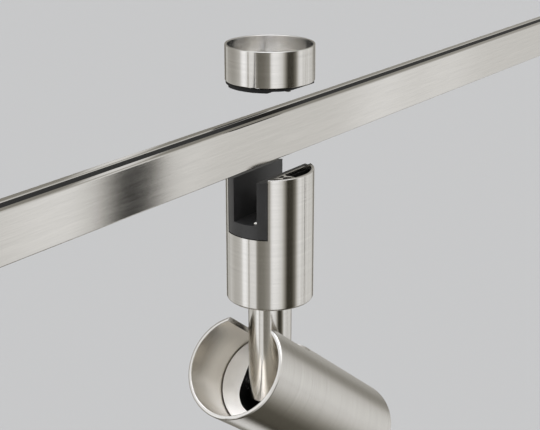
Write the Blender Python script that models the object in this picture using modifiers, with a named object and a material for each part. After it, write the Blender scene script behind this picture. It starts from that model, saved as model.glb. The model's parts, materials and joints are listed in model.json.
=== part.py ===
"""Track lighting fixture: rail, screw-down cap, slotted connector, stem and a tilting tube lamp.

The row frame has X along the rail, Z up, and its origin on top of the rail, over the stem.
Sizes below are in millimetres; MM turns them into Blender's metres. The rest arrangement is
the exploded one: the cap stands above the rail and the connector hangs below it.
"""

import math

import bmesh
import bpy
from mathutils import Matrix, Vector

MM = 0.001
GAP = 0.3                     # clearance between pieces that touch
OVER = 5.0                    # cutters run this far past what they cut
WIDE = 30.0                   # half-width of a cutter that crosses a whole piece
MERGE = 0.00001               # metres

# rail: two flat conductors either side of an insulating core
RAIL_X0, RAIL_X1 = -170.0, 290.0
RAIL_H = 19.05
RAIL_T = 10.7
CORE_T = 3.7
RAIL_EDGE = 0.45

# connector body
CON_R = 18.9
CON_TOP = -24.1
CON_BOTTOM = -82.4
CON_FILLET = 1.2
CON_TOP_EDGE = 0.3
CAVITY_R = 17.6
SLOT_HALF = 10.29             # slot in the metal, for the liner
SLOT_FLOOR = -50.58
DECK_BOTTOM = -52.18          # underside of the metal below the slot
JAW_WALL = 0.8                # metal between slot and jaw pocket
POCKET_DEPTH = 12.0
BOSS_DROP = 1.0               # threaded bosses in the jaws stand this far below their tops
BOSS_R = 3.3
THREAD_BOTTOM = -43.2         # blind threads for the cap screws
LINER_R = 18.75
LINER_TOP_DROP = 1.3
CHANNEL_HALF = 5.95
CHANNEL_FLOOR = -44.48

# sprung contact pins, one under each conductor
PIN_X, PIN_Y = -14.6, -3.6
PIN_R = 1.4
PIN_COLLAR_R = 2.2
PIN_COLLAR_T = 1.2
PIN_TIP = 1.0                 # how far the tip stands above the channel floor
PIN_BORE_R = 2.55
BLOCK_R = 17.0
BLOCK_TOP = -52.5
BLOCK_BOTTOM = -61.5
BORE_FLOOR = -59.7
SPRING_R = 1.75
SPRING_WIRE_R = 0.25
SPRING_TURNS = 4
BLOCK_SCREW_X, BLOCK_SCREW_Y = 3.0, -13.4
BLOCK_SCREW_R = 1.4
BLOCK_SCREW_TIP = -46.0

# threaded base of the connector and the swivel parts above it
BASE_TOP, BASE_BOTTOM = -79.0, -82.0
BASE_R = 17.3
BASE_EDGE = 0.4
BUSH_R = 11.0
BUSH_BORE = 9.85
BUSH_FLANGE_R, BUSH_FLANGE_T = 14.0, 1.2
THRUST_R, THRUST_T = 13.5, 0.9
NUT_R = 13.0
NUT_TOP, NUT_BOTTOM = -72.0, -76.1
SPANNER_R = 1.3
SPANNER_AT = 14.2
SPANNER_DEPTH = 1.6

# cap over the rail
CAP_R = 18.79
CAP_RIM_R = 17.8
CAP_TOP, CAP_BOTTOM = 29.3, 14.25
CAP_FLOOR_TOP = 16.6
CAP_EDGE = 0.35
CAP_FLOOR_FILLET = 0.25

# rubber grip pad under the cap, pressed on the rail
PAD_R = 18.4
PAD_BOTTOM = 12.35
PAD_HALF = 16.2               # the pad is cut flat at +Y and -Y
BAR_HALF = 9.9                # half-width of the deeper bar along the rail
SHOULDER_BOTTOM = 13.05       # underside of the pad beside that bar
PAD_SCREW_HOLE_R = 1.9
PAD_SCREW_R = 1.5
PAD_SCREW_TIP = 13.5
PAD_SCREW_HEAD_R, PAD_SCREW_HEAD_H = 3.2, 1.3

# captive screws that draw the cap down on the connector's jaws
CAP_SCREW_X, CAP_SCREW_Y = -5.8, -13.2
CAP_SCREW_TIP = 12.0
CAP_SCREW_R = 1.7
CAP_SCREW_HEAD_R, CAP_SCREW_HEAD_H = 2.8, 1.6

# stem
STEM_R = 9.51
STEM_BORE_R = 7.2
STEM_TOP = -70.0
STEM_BOTTOM = -130.2
STEM_SOLID_TOP = -118.0
STEM_EDGE = 0.5
LEAD_R = 1.1
LEAD_HALF = 2.6               # the leads run this far either side of the axis
LEAD_EXIT_R, LEAD_EXIT_Z = 2.6, -115.0
GROMMET_R, GROMMET_T, GROMMET_DEPTH = 8.6, 1.5, 3.5

# head: lamp tube that tilts about a pin through the stem's foot
PIVOT_Z = -126.26
TILT = math.radians(36.57)    # tube axis below the horizontal, towards +X
TUBE_R = 23.25
TUBE_BORE = 21.42
TUBE_REAR, TUBE_FRONT = -32.9, 84.7
TUBE_SOFT_EDGE, TUBE_FINE_EDGE = 1.0, 0.3
TUBE_SLOT_HALF = 11.4
HOUSING_R = 21.1
HOUSING_REAR, HOUSING_FRONT = -6.4, 15.0
HOUSING_EDGE = 0.4
HOUSING_SLOT_HALF = 10.4
HOUSING_SLOT_U = -4.4
HOUSING_SLOT_FRONT = 11.4
HINGE_R = 2.0
HINGE_HALF = 16.0
HINGE_PLAY = 0.25
WASHER_R = 5.0
WASHER_Y0, WASHER_Y1 = 9.8, 10.1

# light engine, stacked along the tube
INNER_R = 20.6                # discs and lens that just fit the bore
SINK_REAR, SINK_FRONT = 15.3, 46.0
SINK_REAR_T, SINK_FRONT_T = 3.0, 4.0
SINK_CORE_R, SINK_BORE_R = 8.0, 3.2
SINK_SCREW_AT = 12.0
SINK_SCREW_R = 1.5
SINK_SCREW_TIP = 12.6
SINK_SCREW_HEAD_R, SINK_SCREW_HEAD_H = 2.7, 1.7
FIN_COUNT = 3
FIN_R = 19.4
FIN_T = 1.8
HEAD_LEAD_R, HEAD_LEAD_HALF = 0.9, 1.4
BOARD_R, BOARD_T = 17.0, 1.6
EMITTER_R, EMITTER_T = 6.0, 1.0
HOLDER_R, HOLDER_T = 13.0, 2.4
HOLDER_SCREW_AT = 11.2
HOLDER_SCREW_R = 0.65
HOLDER_SCREW_TIP = 42.0
CUP_THROAT_R, CUP_MOUTH_R = 9.2, 19.3
CUP_WALL = 0.8
CUP_MOUTH = 76.0
RIM_R = 20.9                  # reflector rim and gasket
LENS_T, LENS_EDGE_T = 2.6, 1.8
RING_R, RING_T = 21.1, 2.6

ROUND = 48                    # segments round the outer pieces
MEDIUM = 32                   # segments round the inner pieces
SMALL = 16                    # segments round screws and pins

NICKEL = ((0.62, 0.60, 0.57), 1.0, 0.30)
STEEL = ((0.55, 0.55, 0.56), 1.0, 0.28)
ALUMINIUM = ((0.70, 0.71, 0.72), 1.0, 0.40)
CHROME = ((0.85, 0.86, 0.87), 1.0, 0.06)
BRASS = ((0.72, 0.52, 0.22), 1.0, 0.25)
BLACK_PLASTIC = ((0.020, 0.020, 0.022), 0.0, 0.45)
IVORY_PLASTIC = ((0.68, 0.62, 0.48), 0.0, 0.50)
RUBBER = ((0.012, 0.012, 0.012), 0.0, 0.75)
BOARD_WHITE = ((0.75, 0.76, 0.74), 0.0, 0.50)
PHOSPHOR = ((0.92, 0.72, 0.16), 0.0, 0.55)
GLASS = ((0.85, 0.90, 0.92), 0.0, 0.08)
LEAD_LIVE = ((0.30, 0.10, 0.04), 0.0, 0.5)
LEAD_NEUTRAL = ((0.05, 0.12, 0.45), 0.0, 0.5)


def clear_scene():
    for item in list(bpy.data.objects):
        bpy.data.objects.remove(item, do_unlink=True)
    for group in list(bpy.data.collections):
        bpy.data.collections.remove(group)


def new_collection(name):
    group = bpy.data.collections.new(name)
    bpy.context.scene.collection.children.link(group)
    return group


def add_object(name, data, material, parent=None):
    """Link a piece, or a cutter when it has no material."""
    item = bpy.data.objects.new(name, data)
    if material is None:
        CUTTERS.objects.link(item)
        item.hide_render = True
        item.display_type = "WIRE"
    else:
        PARTS.objects.link(item)
        colour, metallic, roughness = material
        made = bpy.data.materials.new(name)
        made.use_nodes = True
        shader = made.node_tree.nodes["Principled BSDF"]
        shader.inputs["Base Color"].default_value = (*colour, 1.0)
        shader.inputs["Metallic"].default_value = metallic
        shader.inputs["Roughness"].default_value = roughness
        made.diffuse_color = (*colour, 1.0)
        data.materials.append(made)
    item.parent = parent
    return item


def smooth(mesh):
    mesh.shade_smooth()
    mesh.set_sharp_from_angle(angle=math.radians(35))


def turned(name, profile, material=None, segments=MEDIUM, closed=True, parent=None, along_x=False):
    """Piece of revolution; profile runs down the outer side, as (radius, height) pairs.

    A closed profile makes a ring, an open one starts and ends on the axis.
    """
    mesh = bpy.data.meshes.new(name)
    points = [(r * MM, 0.0, z * MM) for r, z in profile]
    edges = [(i, i + 1) for i in range(len(points) - 1)]
    if closed:
        edges.append((len(points) - 1, 0))
    mesh.from_pydata(points, edges, [])
    item = add_object(name, mesh, material, parent)
    screw = item.modifiers.new("turn", "SCREW")
    screw.axis = "Z"
    screw.steps = segments
    screw.render_steps = segments
    screw.use_merge_vertices = True
    screw.merge_threshold = MERGE
    item.rotation_euler = (0.0, math.pi / 2 if along_x else 0.0, 0.0)
    return item


def block(name, low, high, material=None, edge=0.0, parent=None):
    """Box between two corners, with its long edges bevelled where edge is given."""
    low, high = Vector(low) * MM, Vector(high) * MM
    form = bmesh.new()
    bmesh.ops.create_cube(form, size=1.0)
    size = high - low
    bmesh.ops.scale(form, vec=size, verts=form.verts)
    bmesh.ops.translate(form, vec=(low + high) / 2, verts=form.verts)
    mesh = bpy.data.meshes.new(name)
    form.to_mesh(mesh)
    form.free()
    item = add_object(name, mesh, material, parent)
    if edge:
        bevel = item.modifiers.new("edges", "BEVEL")
        bevel.width = edge * MM
        bevel.segments = 2
    return item


def rod(name, radius, start, end, material=None, segments=SMALL, parent=None):
    """Straight round bar between two points."""
    start, end = Vector(start) * MM, Vector(end) * MM
    form = bmesh.new()
    length = (end - start).length
    turn = (end - start).to_track_quat("Z", "Y").to_matrix().to_4x4()
    place = Matrix.Translation((start + end) / 2) @ turn
    bmesh.ops.create_cone(form, cap_ends=True, segments=segments, radius1=radius * MM,
                          radius2=radius * MM, depth=length, matrix=place)
    mesh = bpy.data.meshes.new(name)
    form.to_mesh(mesh)
    form.free()
    return add_object(name, mesh, material, parent)


def to_mesh_object(curve_object, name, material, parent):
    """Replace a curve object by its mesh, with the caps welded on."""
    bpy.context.view_layer.update()
    evaluated = curve_object.evaluated_get(bpy.context.evaluated_depsgraph_get())
    mesh = bpy.data.meshes.new_from_object(evaluated)
    form = bmesh.new()
    form.from_mesh(mesh)
    bmesh.ops.remove_doubles(form, verts=form.verts, dist=MERGE)
    form.to_mesh(mesh)
    form.free()
    mesh.materials.clear()
    matrix = curve_object.matrix_world.copy()
    bpy.data.objects.remove(curve_object, do_unlink=True)
    item = add_object(name, mesh, material, parent)
    item.matrix_local = matrix
    return item


def plate(name, outline, start, end, plane="XY", material=None, parent=None):
    """Flat outline extruded between two heights along the plane's normal."""
    curve = bpy.data.curves.new(name + "_outline", "CURVE")
    curve.dimensions = "2D"
    curve.fill_mode = "BOTH"
    curve.extrude = abs(end - start) / 2 * MM
    spline = curve.splines.new("POLY")
    spline.points.add(len(outline) - 1)
    for point, (a, b) in zip(spline.points, outline):
        point.co = (a * MM, b * MM, 0.0, 1.0)
    spline.use_cyclic_u = True
    holder = bpy.data.objects.new(name + "_outline", curve)
    CUTTERS.objects.link(holder)
    middle = (start + end) / 2 * MM
    if plane == "XY":
        holder.matrix_world = Matrix.Translation((0, 0, middle))
    else:  # outline drawn in Y and Z, extruded along X
        turn = Matrix(((0, 0, 1, middle), (1, 0, 0, 0), (0, 1, 0, 0), (0, 0, 0, 1)))
        holder.matrix_world = turn
    return to_mesh_object(holder, name, material, parent)


def wire(name, points, radius, material, parent=None):
    """Round wire along points, with closed ends."""
    curve = bpy.data.curves.new(name + "_path", "CURVE")
    curve.dimensions = "3D"
    curve.bevel_depth = radius * MM
    curve.bevel_resolution = 2
    curve.use_fill_caps = True
    spline = curve.splines.new("POLY")
    spline.points.add(len(points) - 1)
    for point, place in zip(spline.points, points):
        point.co = (*(Vector(place) * MM), 1.0)
    holder = bpy.data.objects.new(name + "_path", curve)
    CUTTERS.objects.link(holder)
    return to_mesh_object(holder, name, material, parent)


def combine(item, other, operation="DIFFERENCE"):
    step = item.modifiers.new(other.name, "BOOLEAN")
    step.operation = operation
    step.object = other
    step.solver = "EXACT"


def arc(radius, start, end, steps, centre=(0.0, 0.0)):
    """Points on a circle, angles in degrees."""
    points = []
    for i in range(steps + 1):
        angle = math.radians(start + (end - start) * i / steps)
        points.append((centre[0] + radius * math.cos(angle), centre[1] + radius * math.sin(angle)))
    return points


def screw_piece(name, head, tip, head_r, shank_r, head_h, parent=None, along_x=False, at=(0, 0, 0)):
    """Slotted pan-head screw, its head's top at height head and its point at height tip.

    The head faces up when head is above tip and down otherwise.
    """
    up = 1.0 if head > tip else -1.0
    under = head - up * head_h
    profile = [(0.0, head), (head_r * 0.8, head), (head_r, head - up * head_h * 0.4),
               (head_r, under), (shank_r, under), (shank_r, tip + up * 0.6),
               (shank_r * 0.6, tip), (0.0, tip)]
    if up < 0:
        profile.reverse()
    item = turned(name, profile, STEEL, SMALL, closed=False, parent=parent, along_x=along_x)
    item.location = Vector(at) * MM
    depth = head_h * 0.45
    cutter = block(name + "_drive", (-head_r * 1.2, -0.35, min(head, head - up * depth)),
                   (head_r * 1.2, 0.35, max(head, head - up * depth)), parent=item)
    cutter.location = (0, 0, up * 0.01 * MM)
    combine(item, cutter)
    return item


def pivot(name, location, tilt=0.0, parent=None):
    """Empty on a joint's axis, the parent of the pieces that move about it."""
    item = bpy.data.objects.new(name, None)
    PARTS.objects.link(item)
    item.location = Vector(location) * MM
    item.rotation_euler = (0.0, tilt, 0.0)
    item.parent = parent
    return item


def make_rail():
    half, core = RAIL_T / 2, CORE_T / 2
    for name, y0, y1 in (("rail_conductor_front", -half, -core - GAP),
                         ("rail_conductor_back", core + GAP, half)):
        block(name, (RAIL_X0, y0, -RAIL_H), (RAIL_X1, y1, 0.0), NICKEL, RAIL_EDGE)
    block("rail_insulator", (RAIL_X0, -core, -RAIL_H), (RAIL_X1, core, 0.0), BLACK_PLASTIC)


def make_cap():
    lift = pivot("cap_lift_axis", (0, 0, 0))
    shell = turned("cap_shell", [
        (CAP_RIM_R + CAP_EDGE, CAP_TOP), (CAP_R - CAP_EDGE, CAP_TOP), (CAP_R, CAP_TOP - CAP_EDGE),
        (CAP_R, CAP_BOTTOM + CAP_EDGE), (CAP_R - CAP_EDGE, CAP_BOTTOM),
        (PAD_SCREW_HOLE_R, CAP_BOTTOM), (PAD_SCREW_HOLE_R, CAP_FLOOR_TOP),
        (CAP_RIM_R - CAP_FLOOR_FILLET, CAP_FLOOR_TOP),
        (CAP_RIM_R, CAP_FLOOR_TOP + CAP_FLOOR_FILLET), (CAP_RIM_R, CAP_TOP - CAP_EDGE)],
        NICKEL, ROUND, parent=lift)

    # grip pad: a disc with two flat sides, shallower beside the bar that runs along the rail
    corner = math.degrees(math.asin(PAD_HALF / PAD_R))
    outline = arc(PAD_R, -corner, corner, 20) + arc(PAD_R, 180 - corner, 180 + corner, 20)
    pad = plate("rail_grip_pad", outline, PAD_BOTTOM, CAP_BOTTOM - GAP, "XY", RUBBER, lift)
    for side in (1, -1):
        y0, y1 = sorted((side * BAR_HALF, side * (PAD_HALF + OVER)))
        combine(pad, block("pad_step_%d" % side, (-WIDE, y0, 0), (WIDE, y1, SHOULDER_BOTTOM)))
    combine(pad, rod("pad_screw_hole", PAD_SCREW_HOLE_R, (0, 0, 0), (0, 0, CAP_TOP)))

    for side, name in ((1, "front"), (-1, "back")):
        place = (side * CAP_SCREW_X, side * CAP_SCREW_Y, 0)
        for target in (shell, pad):
            hole = rod("hole_" + target.name + "_" + name, CAP_SCREW_R + GAP,
                       (*place[:2], 0), (*place[:2], CAP_FLOOR_TOP + OVER), parent=lift)
            combine(target, hole)
        screw_piece("cap_screw_" + name, CAP_FLOOR_TOP + GAP + CAP_SCREW_HEAD_H, CAP_SCREW_TIP,
                    CAP_SCREW_HEAD_R, CAP_SCREW_R, CAP_SCREW_HEAD_H, lift, at=place)
    screw_piece("grip_pad_screw", CAP_FLOOR_TOP + GAP + PAD_SCREW_HEAD_H, PAD_SCREW_TIP,
                PAD_SCREW_HEAD_R, PAD_SCREW_R, PAD_SCREW_HEAD_H, lift)


def make_connector_shell(lift):
    shell = turned("connector_shell", [
        (0.0, CON_TOP), (CON_R - CON_TOP_EDGE, CON_TOP), (CON_R, CON_TOP - CON_TOP_EDGE),
        (CON_R, CON_BOTTOM + CON_FILLET), (CON_R - CON_FILLET * 0.3, CON_BOTTOM + CON_FILLET * 0.3),
        (CON_R - CON_FILLET, CON_BOTTOM), (CAVITY_R, CON_BOTTOM),
        (CAVITY_R, DECK_BOTTOM), (0.0, DECK_BOTTOM)], NICKEL, ROUND, closed=False, parent=lift)
    combine(shell, block("slot", (-WIDE, -SLOT_HALF, SLOT_FLOOR), (WIDE, SLOT_HALF, 0)))
    chord = SLOT_HALF + JAW_WALL
    start = math.degrees(math.asin(chord / CAVITY_R))
    for side, name in ((1, "back"), (-1, "front")):
        outline = arc(CAVITY_R, side * start, side * (180 - start), 24)
        if side < 0:
            outline.reverse()
        combine(shell, plate("jaw_recess_" + name, outline, CON_TOP - BOSS_DROP, 0.0))
        pocket = plate("jaw_pocket_" + name, outline, CON_TOP - POCKET_DEPTH, -BOSS_DROP)
        screw_at = (-side * CAP_SCREW_X, -side * CAP_SCREW_Y)
        combine(pocket, rod("jaw_boss_" + name, BOSS_R, (*screw_at, THREAD_BOTTOM),
                            (*screw_at, OVER), None, 24))
        combine(shell, pocket)
        combine(shell, rod("jaw_thread_" + name, CAP_SCREW_R + GAP, (*screw_at, THREAD_BOTTOM),
                           (*screw_at, 0)))
        block_at = (-side * BLOCK_SCREW_X, -side * BLOCK_SCREW_Y)
        combine(shell, rod("block_thread_" + name, BLOCK_SCREW_R + GAP,
                           (*block_at, DECK_BOTTOM - OVER), (*block_at, BLOCK_SCREW_TIP + 1.0)))
        pin_at = (-side * PIN_X, -side * PIN_Y)
        combine(shell, rod("deck_hole_" + name, PIN_R + GAP, (*pin_at, DECK_BOTTOM - OVER),
                           (*pin_at, SLOT_FLOOR + OVER)))


def make_liner(lift):
    top = CON_TOP - LINER_TOP_DROP
    outer, inner = SLOT_HALF - GAP, CHANNEL_HALF
    low = SLOT_FLOOR + GAP
    outline = [(-outer, low), (outer, low), (outer, top), (inner, top), (inner, CHANNEL_FLOOR),
               (-inner, CHANNEL_FLOOR), (-inner, top), (-outer, top)]
    liner = plate("slot_liner", outline, -WIDE, WIDE, "YZ", BLACK_PLASTIC, lift)
    trim = turned("liner_trim", [(0.0, 0.0), (LINER_R, 0.0), (LINER_R, CON_BOTTOM),
                                 (0.0, CON_BOTTOM)], segments=ROUND, closed=False)
    combine(liner, trim, "INTERSECT")
    for side, name in ((1, "front"), (-1, "back")):
        at = (side * PIN_X, side * PIN_Y)
        combine(liner, rod("liner_hole_" + name, PIN_R + GAP, (*at, SLOT_FLOOR - OVER),
                           (*at, CHANNEL_FLOOR + OVER)))


def make_contacts(lift):
    """Insulating block under the slot, with a sprung pin for each conductor."""
    holder = turned("contact_block", [(0.0, BLOCK_TOP), (BLOCK_R, BLOCK_TOP),
                                      (BLOCK_R, BLOCK_BOTTOM), (0.0, BLOCK_BOTTOM)],
                    IVORY_PLASTIC, MEDIUM, closed=False, parent=lift)
    tip = CHANNEL_FLOOR + PIN_TIP
    for side, name in ((1, "front"), (-1, "back")):
        x, y = side * PIN_X, side * PIN_Y
        combine(holder, rod("pin_bore_" + name, PIN_BORE_R, (x, y, BORE_FLOOR),
                            (x, y, BLOCK_TOP + OVER), None, 20))
        screw_x, screw_y = side * BLOCK_SCREW_X, side * BLOCK_SCREW_Y
        combine(holder, rod("block_hole_" + name, BLOCK_SCREW_R + GAP,
                            (screw_x, screw_y, BLOCK_BOTTOM - OVER),
                            (screw_x, screw_y, BLOCK_TOP + OVER)))
        screw_piece("contact_block_screw_" + name, BLOCK_BOTTOM - GAP - 1.6, BLOCK_SCREW_TIP, 2.6,
                    BLOCK_SCREW_R, 1.6, lift, at=(screw_x, screw_y, 0))

        axis = pivot("contact_axis_" + name, (x, y, 0), parent=lift)
        turned("contact_pin_" + name, [
            (0.0, tip), (PIN_R * 0.6, tip - 0.2), (PIN_R, tip - 0.9), (PIN_R, BLOCK_TOP),
            (PIN_COLLAR_R, BLOCK_TOP), (PIN_COLLAR_R, BLOCK_TOP - PIN_COLLAR_T),
            (0.0, BLOCK_TOP - PIN_COLLAR_T)], BRASS, SMALL, closed=False, parent=axis)
        high = BLOCK_TOP - PIN_COLLAR_T - GAP - SPRING_WIRE_R
        low = BORE_FLOOR + GAP + SPRING_WIRE_R
        count = SPRING_TURNS * 8
        coil = []
        for i in range(count + 1):
            angle = 2 * math.pi * SPRING_TURNS * i / count
            coil.append((SPRING_R * math.cos(angle), SPRING_R * math.sin(angle),
                         low + (high - low) * i / count))
        wire("contact_spring_" + name, coil, SPRING_WIRE_R, STEEL, axis)


def make_connector_base(lift):
    base = turned("connector_base", [
        (BUSH_R + GAP, BASE_TOP), (BASE_R, BASE_TOP), (BASE_R, BASE_BOTTOM + BASE_EDGE),
        (BASE_R - BASE_EDGE, BASE_BOTTOM), (BUSH_R + GAP, BASE_BOTTOM)], NICKEL, ROUND, parent=lift)
    for side in (1, -1):
        at = (0.0, side * SPANNER_AT)
        combine(base, rod("spanner_hole_%d" % side, SPANNER_R, (*at, BASE_BOTTOM - OVER),
                          (*at, BASE_BOTTOM + SPANNER_DEPTH)))
    flange_low = BASE_TOP + GAP
    turned("swivel_bush", [
        (BUSH_FLANGE_R, flange_low + BUSH_FLANGE_T), (BUSH_FLANGE_R, flange_low),
        (BUSH_R, flange_low), (BUSH_R, BASE_BOTTOM), (BUSH_BORE, BASE_BOTTOM),
        (BUSH_BORE, flange_low + BUSH_FLANGE_T)], IVORY_PLASTIC, MEDIUM, parent=lift)
    low = flange_low + BUSH_FLANGE_T + GAP
    turned("thrust_washer", [(THRUST_R, low + THRUST_T), (THRUST_R, low), (BUSH_BORE, low),
                             (BUSH_BORE, low + THRUST_T)], STEEL, MEDIUM, parent=lift)


def make_stem(lift):
    swivel = pivot("stem_swivel_axis", (0, 0, 0), parent=lift)
    stem = turned("stem_tube", [
        (STEM_BORE_R, STEM_TOP), (STEM_R - STEM_EDGE, STEM_TOP), (STEM_R, STEM_TOP - STEM_EDGE),
        (STEM_R, STEM_BOTTOM + STEM_EDGE), (STEM_R - STEM_EDGE, STEM_BOTTOM), (0.0, STEM_BOTTOM),
        (0.0, STEM_SOLID_TOP), (STEM_BORE_R, STEM_SOLID_TOP)], NICKEL, ROUND, parent=swivel)
    combine(stem, rod("pivot_bore", HINGE_R + HINGE_PLAY, (0, -STEM_R - OVER, PIVOT_Z),
                      (0, STEM_R + OVER, PIVOT_Z)))
    combine(stem, rod("lead_exit", LEAD_EXIT_R, (0, 0, LEAD_EXIT_Z), (STEM_R + OVER, 0, LEAD_EXIT_Z)))

    hexagon = arc(NUT_R, 0, 300, 5)
    nut = plate("stem_nut", hexagon, NUT_BOTTOM, NUT_TOP, "XY", STEEL, swivel)
    combine(nut, rod("nut_bore", STEM_R + GAP, (0, 0, NUT_BOTTOM - OVER), (0, 0, NUT_TOP + OVER),
                     None, MEDIUM))

    grommet = turned("stem_grommet", [
        (0.0, STEM_TOP + GROMMET_T), (GROMMET_R, STEM_TOP + GROMMET_T), (GROMMET_R, STEM_TOP + GAP),
        (STEM_BORE_R - GAP, STEM_TOP + GAP), (STEM_BORE_R - GAP, STEM_TOP - GROMMET_DEPTH),
        (0.0, STEM_TOP - GROMMET_DEPTH)], RUBBER, MEDIUM, closed=False, parent=swivel)
    for side, name, colour in ((1, "live", LEAD_LIVE), (-1, "neutral", LEAD_NEUTRAL)):
        y = side * LEAD_HALF
        combine(grommet, rod("grommet_hole_" + name, LEAD_R + GAP, (0, y, STEM_TOP - OVER),
                             (0, y, STEM_TOP + OVER)))
        wire("stem_lead_" + name, [(0, y, STEM_TOP + 5.0), (0, y, STEM_SOLID_TOP + 1.2)], LEAD_R,
             colour, swivel)
    return swivel


def make_pivot_housing(head):
    housing = turned("pivot_housing", [
        (0.0, HOUSING_FRONT), (HOUSING_R, HOUSING_FRONT), (HOUSING_R, HOUSING_REAR + HOUSING_EDGE),
        (HOUSING_R - HOUSING_EDGE, HOUSING_REAR), (0.0, HOUSING_REAR)],
        ALUMINIUM, ROUND, closed=False, parent=head, along_x=True)
    # U-shaped slot for the stem, open at the top and at the rear, drawn across the tube
    half = HOUSING_SLOT_HALF
    bottom = arc(half, 180, 360, 24, (0.0, HOUSING_SLOT_U))
    outline = bottom + [(half, WIDE), (-half, WIDE)]
    combine(housing, plate("housing_slot", outline, HOUSING_REAR - OVER, HOUSING_SLOT_FRONT, "YZ",
                           parent=head))
    combine(housing, rod("housing_pin_bore", HINGE_R + HINGE_PLAY, (0, -WIDE, 0), (0, WIDE, 0),
                         parent=head))
    combine(housing, rod("housing_lead_hole", SINK_BORE_R, (HOUSING_SLOT_FRONT - OVER, 0, 0),
                         (HOUSING_FRONT + OVER, 0, 0), parent=head))
    for side, name in ((1, "left"), (-1, "right")):
        y = side * SINK_SCREW_AT
        combine(housing, rod("housing_thread_" + name, SINK_SCREW_R + GAP,
                             (SINK_SCREW_TIP - GAP, y, 0), (HOUSING_FRONT + OVER, y, 0), parent=head))


def make_head_tube(head):
    soft, fine = TUBE_SOFT_EDGE, TUBE_FINE_EDGE
    tube = turned("head_tube", [
        (TUBE_BORE + fine, TUBE_FRONT), (TUBE_R - soft, TUBE_FRONT),
        (TUBE_R - soft * 0.3, TUBE_FRONT - soft * 0.3), (TUBE_R, TUBE_FRONT - soft),
        (TUBE_R, TUBE_REAR + soft), (TUBE_R - soft * 0.3, TUBE_REAR + soft * 0.3),
        (TUBE_R - soft, TUBE_REAR), (TUBE_BORE + fine, TUBE_REAR), (TUBE_BORE, TUBE_REAR + fine),
        (TUBE_BORE, TUBE_FRONT - fine)], NICKEL, ROUND, parent=head, along_x=True)
    # slot from the rear rim to just past the pivot, with a round end
    half = TUBE_SLOT_HALF
    outline = arc(half, -90, 90, 24) + [(TUBE_REAR - OVER, half), (TUBE_REAR - OVER, -half)]
    combine(tube, plate("tube_slot", outline, OVER, TUBE_R + OVER, "XY", parent=head))


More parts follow.
